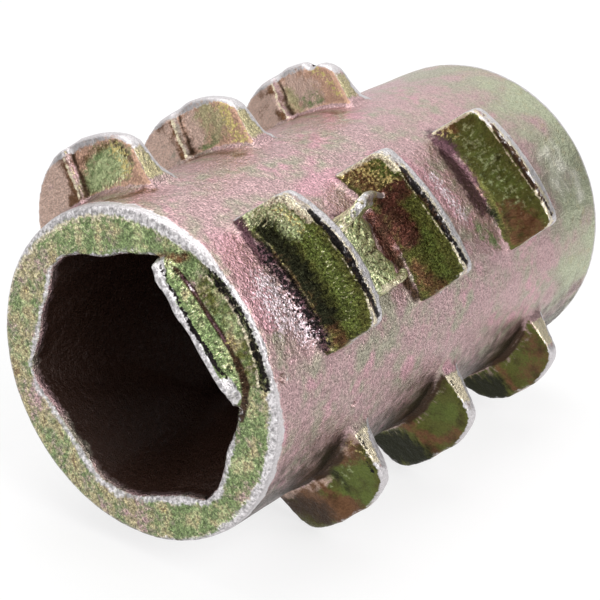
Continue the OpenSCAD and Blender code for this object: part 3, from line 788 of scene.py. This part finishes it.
    wornEdges = (ramp(bulge, 0.006, 0.018) * (1 - 0.85 * seam) * (1 - 0.8 * nearFlank)
                 * (1 - driveFace * ramp(rho, 3.5, 3.7)) * (1 - 0.9 * gate)
                 * (1 - 0.7 * ramp(0.4 - s, 0, 0.1) * ramp(3.6 - rho, 0, 0.1)))
    frontCrest = 0.36 + 0.34 * ramp(fromEdge, 0.10, 0.25) + 0.14 * fine
    otherCrest = (0.85 + 0.08 * fine) * (1 - 0.6 * lower * ramp(1.6 - u, 0, 0.7))
    worn = np.maximum.reduce([
        wornEdges,
        onCrest * np.where(front > 0.5, frontCrest, otherCrest),
        np.clip(rim * 0.5 + 0.35, 0, 0.90 + 0.05 * fine) * onRim,
        lipWhite * (0.95 + 0.08 * fine),
        nearFlank * upper * ramp(rho - crestEdge["wornFrom"], 0, 0.13) * 0.72,
        (0.95 - 0.22 * faceLeft) * hexLine,
        # painted light: the lower fins' front-facing ends are whitened
        (0.15 + 0.1 * fine) * endFront * lower,
    ])
    masks = {
        "moss": 0.42 + 0.17 * patch + 0.3 * farEnd,
        "rose": barrel * (0.24 + 0.14 * patch + 0.10 * fine) * (1 - farEnd),
        "mint": farEnd * (0.70 + 0.14 * patch) * ramp(s, 12.4, 13.4) * (1 - 0.6 * ramp(-20 - angle, 0, 30)),
        "pale": zero,
        "fern": zero,
        "peach": rightHalf * 0.85,
        "blush": leftHalf * (0.95 + 0.15 * fine) + 0.20 * faceLeft * driveFace + 0.75 * foot,
        "leaf": (driveFace * (0.80 + 0.12 * patch) * (1 - 0.24 * faceLeft) * (1 - 0.45 * facet)
                 + 0.75 * gate + 0.35 * farFlank + 1.1 * lipSide + 0.5 * endFront * upper),
        "lime": 1.05 * gate + onFan * (0.15 + 0.45 * fan) + driveFace * (0.24 + 0.18 * fine + 0.12 * patch),
        "straw": (0.25 * farEnd + 0.7 * finEnd + 0.7 * stepFace * upper + 0.5 * footLine
                  + driveFace * (0.30 + 0.16 * faceLeft + 0.14 * fine)),
        "olive": (nearFlank * (front + lower + back) * 1.15 * (1 - 0.8 * foot) + 0.35 * farFlank
                  + 0.75 * facet) * (1 - gate),
        "rust": (driveFace * (0.12 + 0.10 * fine + 0.06 * faceLeft) + 0.25 * ramp(hollow, 0.04, 0.14)
                 + (0.25 + 0.35 * fine) * onCrest * front
                 + (0.30 + 0.2 * fine) * leftHalf * ramp(u, -0.9, 0.4)
                 + 0.50 * nearFlank * upper * ramp(4.55 - rho, 0, 0.3)
                 + 0.45 * nearFlank * upper * line(u, unevenSplit + 0.12, 0.5)
                 + 0.75 * nearFlank * lower * line(u, unevenSplit, 0.24)),
        "maroonShade": zero,
        # painted shade in dark brown: the underside, the feet of the lower fins, their flanks, the upper
        # fins' parting grooves, the foot of the front flanks, the gate's furrows, and the brown in the
        # crest lines
        "brownShade": (0.80 * underside + 0.80 * shelter + crestBrown + nearFlank * lower * (0.28 + 0.1 * fine)
                  + 0.80 * nearFlank * upper * line(u, unevenSplit + 0.16, splitHalf)
                  + 0.9 * nearFlank * front * ramp(4.55 - rho, 0, 0.2) - 0.85 * onFan * fan),
        # painted shade in the hollows in front of the front fins
        "plumShade": 0.5 * front * (1 - onFin) * ramp(hollow, 0.04, 0.12),
        "paintedHighlight": zero,
        # painted shade on the front and lower flanks, and on the facet beside the flash
        "darkShade": (nearFlank * (front + 0.6 * lower) * (0.18 + 0.1 * fine)
                  + 0.12 * driveFace * beside * ramp(u, 3.2, 3.3)),
        "glint": (0.06 * nearFlank * front + 0.18 * lipSide + 0.42 * gate + 0.10 * driveFace
                  + 0.38 * endFront * lower),
        "gold": (0.26 * footLine + nearFlank * upper * ramp(u, 1.0, 1.6) * 0.18
                 + driveFace * (0.05 + 0.08 * fine)),
        "cream": (0.85 * crestBright + (0.80 + 0.25 * fine) * onCrest * front
                  + 1.05 * endFront * (lower + 0.4 * front) + 0.28 * driveFace * ramp(-v, 2.9, 3.5)
                  + 0.18 * footLine + nearFlank * upper * line(u, unevenSplit, 0.055) * 0.8
                  + 1.3 * onBand * line(rho + 0.02 * fine, rimEdge["creamRadius"], rimEdge["creamHalf"])
                  + 0.5 * line(rim, 0, 1.0) * onRim),
        "wear": worn,
        # painted shade in creases, and painted dark reflection along the front crests and the rim beside
        # the flash
        "paintedShade": np.maximum.reduce([ramp(-bulge, 0.010, 0.030) * 0.5, crestShadow, shadowLine]),
        # painted shade deep in the bore and the hexagon
        "deepShade": inside * np.clip(ramp(14.9 - s, 0, 2.0) + 0.15, 0, 1),
        "bare": 0.62 * footLine,
        "streak": rough + 0.25 * gate,
        "grass": 0.85 * driveFace + 0.6 * lipSide + 0.2 * gate,
        "calm": np.clip(nearFlank * (0.85 * lower + 0.55 * upper) + 0.6 * lastFlank + 0.6 * underside
                        + 0.55 * ramp(s, 6.5, 12.0)
                        + (0.85 - 0.45 * onCrest * front) * np.clip(worn, 0, 1), 0, 1),
    }
    layMarks(masks, points, nearFlank)
    writeMasks(mesh, masks)


def makeGroup(name, inputs, outputs):
    # an input's value is its number, or the kind of its socket where it has none
    tree = bpy.data.node_groups.new(name, "ShaderNodeTree")
    for label, value in inputs.items():
        kind = value if isinstance(value, str) else "Float"
        socket = tree.interface.new_socket(label, in_out="INPUT", socket_type="NodeSocket" + kind)
        if kind == "Float":
            socket.default_value = value
    for label, kind in outputs.items():
        tree.interface.new_socket(label, in_out="OUTPUT", socket_type="NodeSocket" + kind)
    return tree, tree.nodes.new("NodeGroupInput").outputs, tree.nodes.new("NodeGroupOutput").inputs


def setSocket(tree, socket, value):
    if isinstance(value, bpy.types.NodeSocket):
        tree.links.new(value, socket)
    else:
        socket.default_value = value


def addNode(tree, kind, values=None, **settings):
    node = tree.nodes.new(kind)
    for name, value in settings.items():
        setattr(node, name, value)
    for name, value in (values or {}).items():
        setSocket(tree, node.inputs[name], value)
    return node


def mathNode(tree, operation, first, second=0.5, third=0.0):
    return addNode(tree, "ShaderNodeMath", {0: first, 1: second, 2: third}, operation=operation).outputs[0]


def mapNode(tree, value, start=0.0, end=1.0, low=0.0, high=1.0, kind="LINEAR"):
    # low at start and below, high at end and above
    return addNode(tree, "ShaderNodeMapRange", {"Value": value, "From Min": start, "From Max": end,
                                                "To Min": low, "To Max": high},
                   interpolation_type=kind).outputs["Result"]


def noiseNode(tree, vector, size, detail, roughness=0.5):
    scale = mathNode(tree, "DIVIDE", 1.0, size)
    return addNode(tree, "ShaderNodeTexNoise", {"Vector": vector, "Scale": scale, "Detail": detail,
                                                "Roughness": roughness}).outputs[0]


def vectorNode(tree, x=0.0, y=0.0, z=0.0):
    return addNode(tree, "ShaderNodeCombineXYZ", {0: x, 1: y, 2: z}).outputs[0]


def blendNode(tree, share, under, over, mode="MIX"):
    # on a Mix node the colours are sockets 6 and 7, and the result is output 2
    return addNode(tree, "ShaderNodeMix", {0: share, 6: under, 7: over}, data_type="RGBA",
                   blend_type=mode).outputs[2]


def makeGrainGroup():
    tree, start, end = makeGroup("castGrain", {
        "Vector": "Vector", "Grain Size": 0.07, "Orange Peel Size": 0.3, "Peel Share": 0.5},
        {"Height": "Float", "Speckle": "Float"})
    grain = noiseNode(tree, start["Vector"], start["Grain Size"], 2.0, 0.6)
    peel = noiseNode(tree, start["Vector"], start["Orange Peel Size"], 3.0, 0.55)
    peelPart = mathNode(tree, "MULTIPLY", peel, start["Peel Share"])
    height = mathNode(tree, "ADD", mathNode(tree, "MULTIPLY", grain, 0.5), peelPart)
    tree.links.new(height, end["Height"])
    tree.links.new(mapNode(tree, grain, 0.3, 0.7, kind="SMOOTHSTEP"), end["Speckle"])
    return tree


def makeFilmGroup():
    # one colour laid over another, with a broken edge: used for the colours of the passivated film, for
    # painted shade and for painted highlights
    tree, start, end = makeGroup("filmCoat", {
        "Vector": "Vector", "Under": "Color", "Film": "Color", "Amount": 0.5, "Patch Size": 0.3,
        "Softness": 0.25, "Detail": 4.0}, {"Color": "Color", "Mask": "Float"})
    noise = noiseNode(tree, start["Vector"], start["Patch Size"], start["Detail"], 0.65)
    # the noise runs from about 0.25 to 0.75, so it is stretched before the amount is added
    stretched = mapNode(tree, noise, 0.28, 0.72, kind="SMOOTHSTEP")
    soft = start["Softness"]
    span = mathNode(tree, "MULTIPLY_ADD", soft, 2.0, 1.0)
    lifted = mathNode(tree, "SUBTRACT", mathNode(tree, "MULTIPLY", start["Amount"], span),
                      mathNode(tree, "ADD", stretched, soft))
    mask = mapNode(tree, lifted, mathNode(tree, "MULTIPLY", soft, -1.0), soft, kind="SMOOTHSTEP")
    tree.links.new(blendNode(tree, mask, start["Under"], start["Film"]), end["Color"])
    tree.links.new(mask, end["Mask"])
    return tree


def makePlaceGroup():
    # the piece's Object coordinates turned to the insert's own axes, in millimetres
    tree, start, end = makeGroup("insertAxes", {"Object": "Vector"}, {"Vector": "Vector"})
    place, turned, scale = tableToInsert.decompose()
    node = addNode(tree, "ShaderNodeMapping", {"Vector": start["Object"], "Location": place,
                                               "Rotation": turned.to_euler(), "Scale": scale})
    tree.links.new(node.outputs["Vector"], end["Vector"])
    return tree


def makeStreakGroup():
    # a gain on the colour and a height, both from one uneven noise; amount 0 leaves the surface alone
    tree, start, end = makeGroup("streaks", {"Vector": "Vector", "Size": 0.08, "Amount": 1.0, "Dark": 0.3,
                                             "Light": 2.0}, {"Gain": "Float", "Height": "Float"})
    noise = noiseNode(tree, start["Vector"], start["Size"], 3.0, 0.6)
    share = mapNode(tree, noise, 0.30, 0.72, kind="SMOOTHSTEP")
    gain = mapNode(tree, share, low=start["Dark"], high=start["Light"])
    offset = mathNode(tree, "MULTIPLY", mathNode(tree, "SUBTRACT", gain, 1.0), start["Amount"])
    tree.links.new(mathNode(tree, "ADD", offset, 1.0), end["Gain"])
    tree.links.new(mathNode(tree, "MULTIPLY", noise, start["Amount"]), end["Height"])
    return tree


def makeRadialGroup():
    # place stretched away from the axis, so that a noise on it runs in radial streaks
    tree, start, end = makeGroup("radialPlace", {"Vector": "Vector", "Stretch": 0.3}, {"Vector": "Vector"})
    x, y, z = addNode(tree, "ShaderNodeSeparateXYZ", {0: start["Vector"]}).outputs
    flat = vectorNode(tree, x, y)
    away = addNode(tree, "ShaderNodeVectorMath", {0: flat}, operation="LENGTH").outputs["Value"]
    turned = mathNode(tree, "ARCTAN2", y, x)
    joined = vectorNode(tree, mathNode(tree, "MULTIPLY", away, start["Stretch"]),
                        mathNode(tree, "MULTIPLY", turned, 5.0),
                        mathNode(tree, "MULTIPLY", z, start["Stretch"]))
    tree.links.new(joined, end["Vector"])
    return tree


groups = {
    "grain": makeGrainGroup(),
    "film": makeFilmGroup(),
    "place": makePlaceGroup(),
    "streaks": makeStreakGroup(),
    "radial": makeRadialGroup(),
}

baseFilm = (0.52, 0.345, 0.35, 1)
# painted shade for the depths of the bore and the hexagon
deepShadeColor = (0.052, 0.025, 0.017, 1)

films = {
    # from the lowest coat up: (colour, patch size in millimetres, softness of its edge, detail, on streaks)
    "moss": ((0.4, 0.37, 0.285, 1), 0.45, 0.9, 2.2, False),
    "rose": ((0.6, 0.345, 0.385, 1), 0.4, 0.8, 2.5, False),
    "mint": ((0.45, 0.475, 0.33, 1), 0.6, 1.0, 1.5, False),
    "pale": ((0.82, 0.8, 0.68, 1), 0.5, 0.8, 1.0, False),
    "peach": ((0.6, 0.37, 0.27, 1), 0.22, 0.5, 4.0, False),
    "blush": ((0.66, 0.47, 0.39, 1), 0.22, 0.5, 4.0, False),
    "olive": ((0.115, 0.12, 0.032, 1), 0.14, 0.45, 4.0, True),
    "fern": ((0.125, 0.155, 0.038, 1), 0.18, 0.6, 4.0, True),
    "leaf": ((0.215, 0.285, 0.125, 1), 0.2, 0.55, 4.0, False),
    "lime": ((0.5, 0.57, 0.3, 1), 0.13, 0.4, 4.0, False),
    "straw": ((0.47, 0.41, 0.24, 1), 0.22, 0.45, 4.0, False),
    "rust": ((0.175, 0.088, 0.045, 1), 0.2, 0.65, 4.0, False),
    # the next three, red-brown, dark brown and plum, are laid on as painted shade
    "maroonShade": ((0.15, 0.055, 0.042, 1), 0.2, 0.6, 4.0, False),
    "brownShade": ((0.05, 0.028, 0.016, 1), 0.35, 0.9, 4.0, False),
    "plumShade": ((0.115, 0.058, 0.07, 1), 0.16, 0.6, 4.0, False),
    # a pale pink painted highlight
    "paintedHighlight": ((0.95, 0.76, 0.84, 1), 0.09, 0.22, 4.0, False),
    # painted shade, near black
    "darkShade": ((0.02, 0.021, 0.01, 1), 0.16, 0.7, 4.0, True),
    "glint": ((0.86, 0.84, 0.5, 1), 0.06, 0.15, 4.0, True),
    "gold": ((0.72, 0.6, 0.25, 1), 0.09, 0.25, 4.0, False),
    "cream": ((0.74, 0.65, 0.47, 1), 0.11, 0.35, 4.0, False),
    "wear": ((0.64, 0.61, 0.62, 1), 0.11, 0.5, 4.0, False),
    # painted shade and painted dark reflections, near black
    "paintedShade": ((0.014, 0.011, 0.011, 1), 0.1, 0.2, 4.0, False),
}

surface = {
    "radialStretch": 0.55,
    "grainSize": 0.05,
    "peelSize": 0.19,
    "peelShare": 1.0,
    "darkGrain": 0.55,
    "lightGrain": 1.36,
    "metal": 0.92,
    "deepDull": 0.7,
    "roughGrain": 0.40,
    "smoothGrain": 0.22,
    "calmRough": 0.10,
    "calmColor": 0.8,
    "calmBump": 0.75,
    "bumpDepth": 0.06,
    "streakSize": 0.055,
    "streakDark": 0.45,
    "streakLight": 1.70,
    "grassSize": 0.105,
    "grassDark": 0.50,
    "grassLight": 1.80,
}


def emptyTree(owner):
    owner.use_nodes = True
    owner.node_tree.nodes.clear()
    return owner.node_tree


def makeMaterial(name):
    material = bpy.data.materials.new(name)
    tree = emptyTree(material)
    shader = tree.nodes.new("ShaderNodeBsdfPrincipled")
    addNode(tree, "ShaderNodeOutputMaterial", {"Surface": shader.outputs[0]})
    coordinates = tree.nodes.new("ShaderNodeTexCoord")
    place = useGroup(tree, "place", Object=coordinates.outputs["Object"])["Vector"]
    return material, tree, shader.inputs, place


def useGroup(tree, group, **values):
    node = tree.nodes.new("ShaderNodeGroup")
    node.node_tree = groups[group]
    for name, value in values.items():
        setSocket(tree, node.inputs[name.replace("_", " ")], value)
    return node.outputs


def readMask(tree, name):
    return addNode(tree, "ShaderNodeAttribute", attribute_name=name).outputs["Fac"]


def dullMetal(tree, mask, shader):
    # painted shade: where the deep shade lies, the metal is turned down so that it stays dark
    metal = mathNode(tree, "MULTIPLY_ADD", mask, -surface["deepDull"], surface["metal"])
    tree.links.new(metal, shader["Metallic"])


def addBump(tree, height, depth, shader):
    bump = addNode(tree, "ShaderNodeBump", {"Height": height, "Strength": 1.0, "Distance": depth * mm})
    tree.links.new(bump.outputs["Normal"], shader["Normal"])


def makeCastZinc():
    material, tree, shader, place = makeMaterial("castZinc")
    radial = useGroup(tree, "radial", Vector=place, Stretch=surface["radialStretch"])["Vector"]
    grain = useGroup(tree, "grain", Vector=place, Grain_Size=surface["grainSize"],
                     Orange_Peel_Size=surface["peelSize"], Peel_Share=surface["peelShare"])
    streaks, grass = (
        useGroup(tree, "streaks", Vector=vector, Size=surface[kind + "Size"], Amount=readMask(tree, kind),
                 Dark=surface[kind + "Dark"], Light=surface[kind + "Light"])
        for kind, vector in (("streak", radial), ("grass", place)))
    calm = readMask(tree, "calm")

    color = baseFilm
    for film, (filmColor, patch, softness, detail, onStreaks) in films.items():
        coat = useGroup(tree, "film", Vector=radial if onStreaks else place, Under=color, Film=filmColor,
                        Amount=readMask(tree, film), Patch_Size=patch, Softness=softness, Detail=detail)
        color = coat["Color"]

    # grain darkens and lightens the colour, less where the surface is calm
    shade = mapNode(tree, grain["Speckle"], low=surface["darkGrain"], high=surface["lightGrain"])
    calmed = mathNode(tree, "MULTIPLY", calm, mathNode(tree, "SUBTRACT", 1.0, shade))
    shade = mathNode(tree, "MULTIPLY_ADD", calmed, surface["calmColor"], shade)
    gains = mathNode(tree, "MULTIPLY", streaks["Gain"], grass["Gain"])
    shade = mathNode(tree, "MULTIPLY", shade, gains)
    gray = addNode(tree, "ShaderNodeCombineColor", {0: shade, 1: shade, 2: shade}).outputs[0]
    color = blendNode(tree, 1.0, color, gray, "MULTIPLY")
    # painted shade deep in the bore, over all the rest
    last = useGroup(tree, "film", Vector=place, Under=color, Film=deepShadeColor, Amount=readMask(tree, "deepShade"),
                    Patch_Size=0.30, Softness=0.30)
    tree.links.new(last["Color"], shader["Base Color"])
    dullMetal(tree, last["Mask"], shader)
    rough = mapNode(tree, grain["Speckle"], low=surface["roughGrain"], high=surface["smoothGrain"])
    tree.links.new(mathNode(tree, "MULTIPLY_ADD", calm, surface["calmRough"], rough), shader["Roughness"])

    flatter = mathNode(tree, "MULTIPLY_ADD", calm, -surface["calmBump"], 1.0)
    height = mathNode(tree, "MULTIPLY", grain["Height"], flatter)
    height = mathNode(tree, "ADD", height, mathNode(tree, "ADD", streaks["Height"], grass["Height"]))
    addBump(tree, height, surface["bumpDepth"], shader)
    return material


threadFinish = {
    "grainSize": 0.05,
    "peelSize": 0.3,
    "peelShare": 0.4,
    "patch": 0.3,
    "moss": 0.5,
    "darkFrom": 14.9,       # along the barrel: the turns are painted dark with shade from here inwards
    "darkTo": 12.9,
    "roughness": 0.38,
    "bumpDepth": 0.02,
}


def makeThreadZinc():
    material, tree, shader, place = makeMaterial("threadZinc")
    grain = useGroup(tree, "grain", Vector=place, Grain_Size=threadFinish["grainSize"],
                     Orange_Peel_Size=threadFinish["peelSize"], Peel_Share=threadFinish["peelShare"])
    depth = addNode(tree, "ShaderNodeSeparateXYZ", {0: place}).outputs["Z"]
    dark = mapNode(tree, depth, threadFinish["darkFrom"], threadFinish["darkTo"])
    coat = useGroup(tree, "film", Vector=place, Under=films["straw"][0], Film=films["moss"][0],
                    Amount=threadFinish["moss"], Patch_Size=threadFinish["patch"], Softness=0.4)
    # painted shade on the turns deeper in the bore
    coat = useGroup(tree, "film", Vector=place, Under=coat["Color"], Film=deepShadeColor, Amount=dark,
                    Patch_Size=threadFinish["patch"], Softness=0.1)
    tree.links.new(coat["Color"], shader["Base Color"])
    dullMetal(tree, coat["Mask"], shader)
    shader["Roughness"].default_value = threadFinish["roughness"]
    addBump(tree, grain["Height"], threadFinish["bumpDepth"], shader)
    return material


def makeTree(name, sizes, takesGeometry):
    # a tree with one named input for each size, and the identifier that a modifier sets it by
    tree = bpy.data.node_groups.new(name, "GeometryNodeTree")
    tree.interface.new_socket("Geometry", in_out="OUTPUT", socket_type="NodeSocketGeometry")
    if takesGeometry:
        tree.interface.new_socket("Geometry", in_out="INPUT", socket_type="NodeSocketGeometry")
    kinds = {label: "Int" if isinstance(value, int) else "Float" for label, value in sizes.items()}
    names = {}
    for label, kind in {**kinds, "Material": "Material"}.items():
        socket = tree.interface.new_socket(label, in_out="INPUT", socket_type="NodeSocket" + kind)
        names[label] = socket.identifier
    return tree, names, tree.nodes.new("NodeGroupInput").outputs, tree.nodes.new("NodeGroupOutput").inputs


def finishTree(tree, start, end, geometry):
    realized = addNode(tree, "GeometryNodeRealizeInstances", {"Geometry": geometry})
    dressed = addNode(tree, "GeometryNodeSetMaterial", {"Geometry": realized.outputs[0],
                                                        "Material": start["Material"]})
    tree.links.new(dressed.outputs[0], end["Geometry"])


def runTree(made, tree, names, sizes, material):
    modifier = made.modifiers.new(tree.name, "NODES")
    modifier.node_group = tree
    for label, value in sizes.items():
        modifier[names[label]] = value
    modifier[names["Material"]] = material
    return applyModifiers(made)


def makeSkinTree():
    # the uneven skin that die casting leaves: broad lumps and a fine orange peel, along the normals
    tree, names, start, end = makeTree("castSkin", skin, True)
    place = tree.nodes.new("GeometryNodeInputPosition").outputs[0]
    normal = tree.nodes.new("GeometryNodeInputNormal").outputs[0]
    heights = []
    for kind, shift in (("Lump", 0.0), ("Peel", 31.7)):
        offset = mathNode(tree, "ADD", start["Seed"], shift)
        shifted = vectorNode(tree, offset, offset, offset)
        spot = addNode(tree, "ShaderNodeVectorMath", {0: place, 1: shifted}, operation="ADD").outputs[0]
        noise = noiseNode(tree, spot, start[kind + " Size"], 2.0)
        level = mathNode(tree, "SUBTRACT", noise, 0.5)
        heights.append(mathNode(tree, "MULTIPLY", level, start[kind + " Depth"]))
    total = mathNode(tree, "ADD", *heights)
    lift = addNode(tree, "ShaderNodeVectorMath", {0: normal, "Scale": total}, operation="SCALE").outputs[0]
    moved = addNode(tree, "GeometryNodeSetPosition", {"Geometry": start["Geometry"], "Offset": lift})
    finishTree(tree, start, end, moved.outputs[0])
    return tree, names


def moveNode(tree, geometry, place=(0, 0, 0), rotation=(0, 0, 0)):
    return addNode(tree, "GeometryNodeTransform", {"Geometry": geometry, "Translation": place,
                                                   "Rotation": rotation}).outputs[0]


def makeThreadTree():
    # one ridge swept along a helix in the bore, which runs out to nothing at both ends
    tree, names, start, end = makeTree("screwThread", thread, False)
    rootRadius = start["Root Radius"]
    height = mathNode(tree, "SUBTRACT", start["End"], start["Start"])
    helix = addNode(tree, "GeometryNodeCurveSpiral", {
        "Resolution": start["Steps"], "Rotations": mathNode(tree, "DIVIDE", height, start["Pitch"]),
        "Start Radius": rootRadius, "End Radius": rootRadius, "Height": height})
    upright = addNode(tree, "GeometryNodeSetCurveNormal", {"Curve": helix.outputs[0]}, mode="Z_UP")
    share = tree.nodes.new("GeometryNodeSplineParameter").outputs["Factor"]
    fromEnd = mathNode(tree, "MINIMUM", share, mathNode(tree, "SUBTRACT", 1.0, share))
    size = mapNode(tree, fromEnd, end=start["Run-out"], low=0.02)
    depth = mathNode(tree, "SUBTRACT", rootRadius, start["Crest Radius"])
    profile = addNode(tree, "GeometryNodeCurvePrimitiveQuadrilateral", {
        "Height": depth, "Bottom Width": start["Root Width"], "Top Width": start["Crest Width"],
        "Offset": 0.0}, mode="TRAPEZOID")
    inward = moveNode(tree, profile.outputs[0], vectorNode(tree, y=mathNode(tree, "MULTIPLY", depth, 0.5)))
    turned = moveNode(tree, inward, rotation=(0, 0, -math.pi / 2))
    ridge = addNode(tree, "GeometryNodeCurveToMesh", {"Curve": upright.outputs[0], "Profile Curve": turned,
                                                      "Scale": size, "Fill Caps": True})
    moved = moveNode(tree, ridge.outputs[0], vectorNode(tree, z=start["Start"]))
    finishTree(tree, start, end, moved)
    return tree, names


camera = {
    "place": (-35.287, -24.171, 22.854),
    "heading": 35.042,       # degrees round from the table's x axis
    "pitch": -23.495,
    "roll": 2.018,
    "lens": 103.06,
}

lamps = [
    # (name, direction to it, distance, size, strength), in the table's axes and millimetres
    ("keyLamp", (-0.15, -0.80, 0.60), 120, 90, 0.075),
    ("topLamp", (0.2, 0.25, 0.95), 120, 110, 0.05),
    ("sideLamp", (-0.9, 0.1, 0.3), 140, 80, 0.02),
]

cards = [
    # black cards that only reflections see: (name, direction to it, distance, diameter)
    ("cameraCard", (-0.75, -0.53, 0.25), 150, 210),
    ("rightCard", (0.85, -0.55, 0.10), 130, 110),
    ("leftCard", (-0.70, 0.70, 0.12), 130, 100),
]

paper = {
    "size": 0.8,
    "shadowColor": (0.36, 0.36, 0.36, 1),
    "glow": 0.68,
    "bounceColor": (0.28, 0.28, 0.28, 1),
    "skyLight": 0.55,
}


def seenShare(tree):
    # 1 for what the camera or a reflection sees, 0 for light that bounces
    rays = tree.nodes.new("ShaderNodeLightPath").outputs
    seen = mathNode(tree, "MAXIMUM", rays["Is Camera Ray"], rays["Is Glossy Ray"])
    return mathNode(tree, "MAXIMUM", seen, rays["Is Transmission Ray"])


def makePaper():
    material = bpy.data.materials.new("whitePaper")
    tree = emptyTree(material)
    lit = addNode(tree, "ShaderNodeBsdfDiffuse", {"Color": paper["shadowColor"]})
    glow = addNode(tree, "ShaderNodeEmission", {"Color": (1, 1, 1, 1), "Strength": paper["glow"]})
    both = addNode(tree, "ShaderNodeAddShader", {0: lit.outputs[0], 1: glow.outputs[0]})
    bounce = addNode(tree, "ShaderNodeBsdfDiffuse", {"Color": paper["bounceColor"]})
    mix = addNode(tree, "ShaderNodeMixShader", {0: seenShare(tree), 1: bounce.outputs[0],
                                                2: both.outputs[0]})
    addNode(tree, "ShaderNodeOutputMaterial", {"Surface": mix.outputs[0]})

    mesh = bpy.data.meshes.new("paperFloor")
    half = paper["size"] / 2
    corners = [(-half, -half, 0), (half, -half, 0), (half, half, 0), (-half, half, 0)]
    mesh.from_pydata(corners, [], [(0, 1, 2, 3)])
    mesh.materials.append(material)
    linkObject("paperFloor", mesh)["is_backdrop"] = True

    world = bpy.data.worlds.new("whiteRoom")
    tree = emptyTree(world)
    strength = mapNode(tree, seenShare(tree), low=paper["skyLight"])
    sky = addNode(tree, "ShaderNodeBackground", {"Color": (1, 1, 1, 1), "Strength": strength})
    addNode(tree, "ShaderNodeOutputWorld", {"Surface": sky.outputs[0]})
    bpy.context.scene.world = world


def makeCards():
    material = bpy.data.materials.new("blackCard")
    material.use_nodes = True
    shader = material.node_tree.nodes["Principled BSDF"]
    shader.inputs["Base Color"].default_value = (0.01, 0.01, 0.01, 1)
    shader.inputs["Roughness"].default_value = 1.0
    for name, toward, distance, size in cards:
        toward = Vector(toward).normalized()
        work = bmesh.new()
        facing = toward.to_track_quat("Z", "Y").to_matrix().to_4x4()
        place = Matrix.Translation(toward * distance * mm) @ facing
        bmesh.ops.create_circle(work, cap_ends=True, segments=48, radius=size * mm / 2, matrix=place)
        mesh = bpy.data.meshes.new(name)
        work.to_mesh(mesh)
        work.free()
        mesh.materials.append(material)
        card = linkObject(name, mesh)
        card.visible_camera = card.visible_diffuse = card.visible_shadow = False
        card.visible_transmission = False
        card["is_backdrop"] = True


def makeLamps():
    for name, toward, distance, size, strength in lamps:
        light = bpy.data.lights.new(name, "AREA")
        light.shape = "DISK"
        light.size = size * mm
        light.energy = strength
        lamp = linkObject(name, light)
        toward = Vector(toward).normalized()
        lamp.location = toward * distance * mm + Vector((0, 0, 5 * mm))
        lamp.rotation_mode = "QUATERNION"
        lamp.rotation_quaternion = toward.to_track_quat("Z", "Y")


def makeCamera():
    data = bpy.data.cameras.new("mainCamera")
    data.lens = camera["lens"]
    data.sensor_width = 36
    data.clip_start, data.clip_end = 0.001, 10
    heading, pitch, roll = (math.radians(camera[name]) for name in ("heading", "pitch", "roll"))
    made = linkObject("mainCamera", data)
    made.matrix_world = (Matrix.Translation(Vector(camera["place"]) * mm)
                         @ Matrix.Rotation(heading - math.pi / 2, 4, "Z")
                         @ Matrix.Rotation(math.pi / 2 + pitch, 4, "X") @ Matrix.Rotation(roll, 4, "Z"))
    bpy.context.scene.camera = made


bpy.context.scene.view_settings.view_transform = "Standard"
makePaper()
makeLamps()
makeCards()
makeCamera()
print("stage, lamps and camera are ready")

zinc = makeCastZinc()
castBody = castCopy()
meltMarks(castBody.data)
fuse(castBody, [tube(torn["path"], torn["radii"]) for torn in (curl, gateBead)])
print("remeshed to", len(castBody.data.vertices), "points")
sculptBody(castBody.data)
skinTree, skinNames = makeSkinTree()
runTree(castBody, skinTree, skinNames, skin, zinc)
thinOut(castBody)
keepLength(castBody.data)
paintBody(castBody.data)
castBody.data.transform(insertToTable)
castBody.data.shade_smooth()
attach(castBody, "root")
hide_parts("insert_body")
print("the cast body has", len(castBody.data.polygons), "faces")

screwThread = linkObject("screwThread", bpy.data.meshes.new("screwThread"))
threadTree, threadNames = makeThreadTree()
runTree(screwThread, threadTree, threadNames, thread, makeThreadZinc())
screwThread.data.transform(insertToTable)
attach(screwThread, "root")
print("the screw thread has", len(screwThread.data.polygons), "faces")

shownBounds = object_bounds()
sizes = {"cad": cadBounds, "shown": shownBounds}
sizes = {name: [list(corner) for corner in bounds] for name, bounds in sizes.items()}
